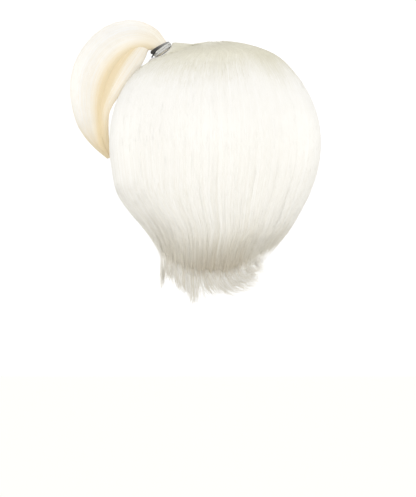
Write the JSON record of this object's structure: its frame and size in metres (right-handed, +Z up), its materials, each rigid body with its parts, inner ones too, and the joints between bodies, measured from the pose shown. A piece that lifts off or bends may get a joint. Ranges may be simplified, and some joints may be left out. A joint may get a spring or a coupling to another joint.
{
  "type": "bob wig with side ponytail",
  "caption": "Rounded short bob wig of straight pale hair with a fringe, tapered nape and a thick side ponytail held by a wound elastic, on a thin open cap.",
  "frame": {"origin": "top of the head hollow, inside the cap", "axes": "+Z up, +Y towards the back of the head, +X towards the wearer's left, where the ponytail is"},
  "size_m": [0.27, 0.2363, 0.3026],
  "materials": {
    "platinum_hair": "straight synthetic fibre with a soft sheen",
    "ivory_hair": "straight synthetic fibre with a soft sheen",
    "cap_net": "matt stretch net",
    "elastic": "matt covered elastic"
  },
  "bodies": {
    "root": {"wig_cap": "cap_net", "crown_hair": "platinum_hair", "back_hair": "platinum_hair", "left_side_hair": "platinum_hair", "right_side_hair": "platinum_hair", "front_fringe": "platinum_hair", "nape_tuft": "platinum_hair", "ponytail_root": "ivory_hair", "hair_tie": "elastic", "ponytail": "ivory_hair"}
  },
  "joints": []
}
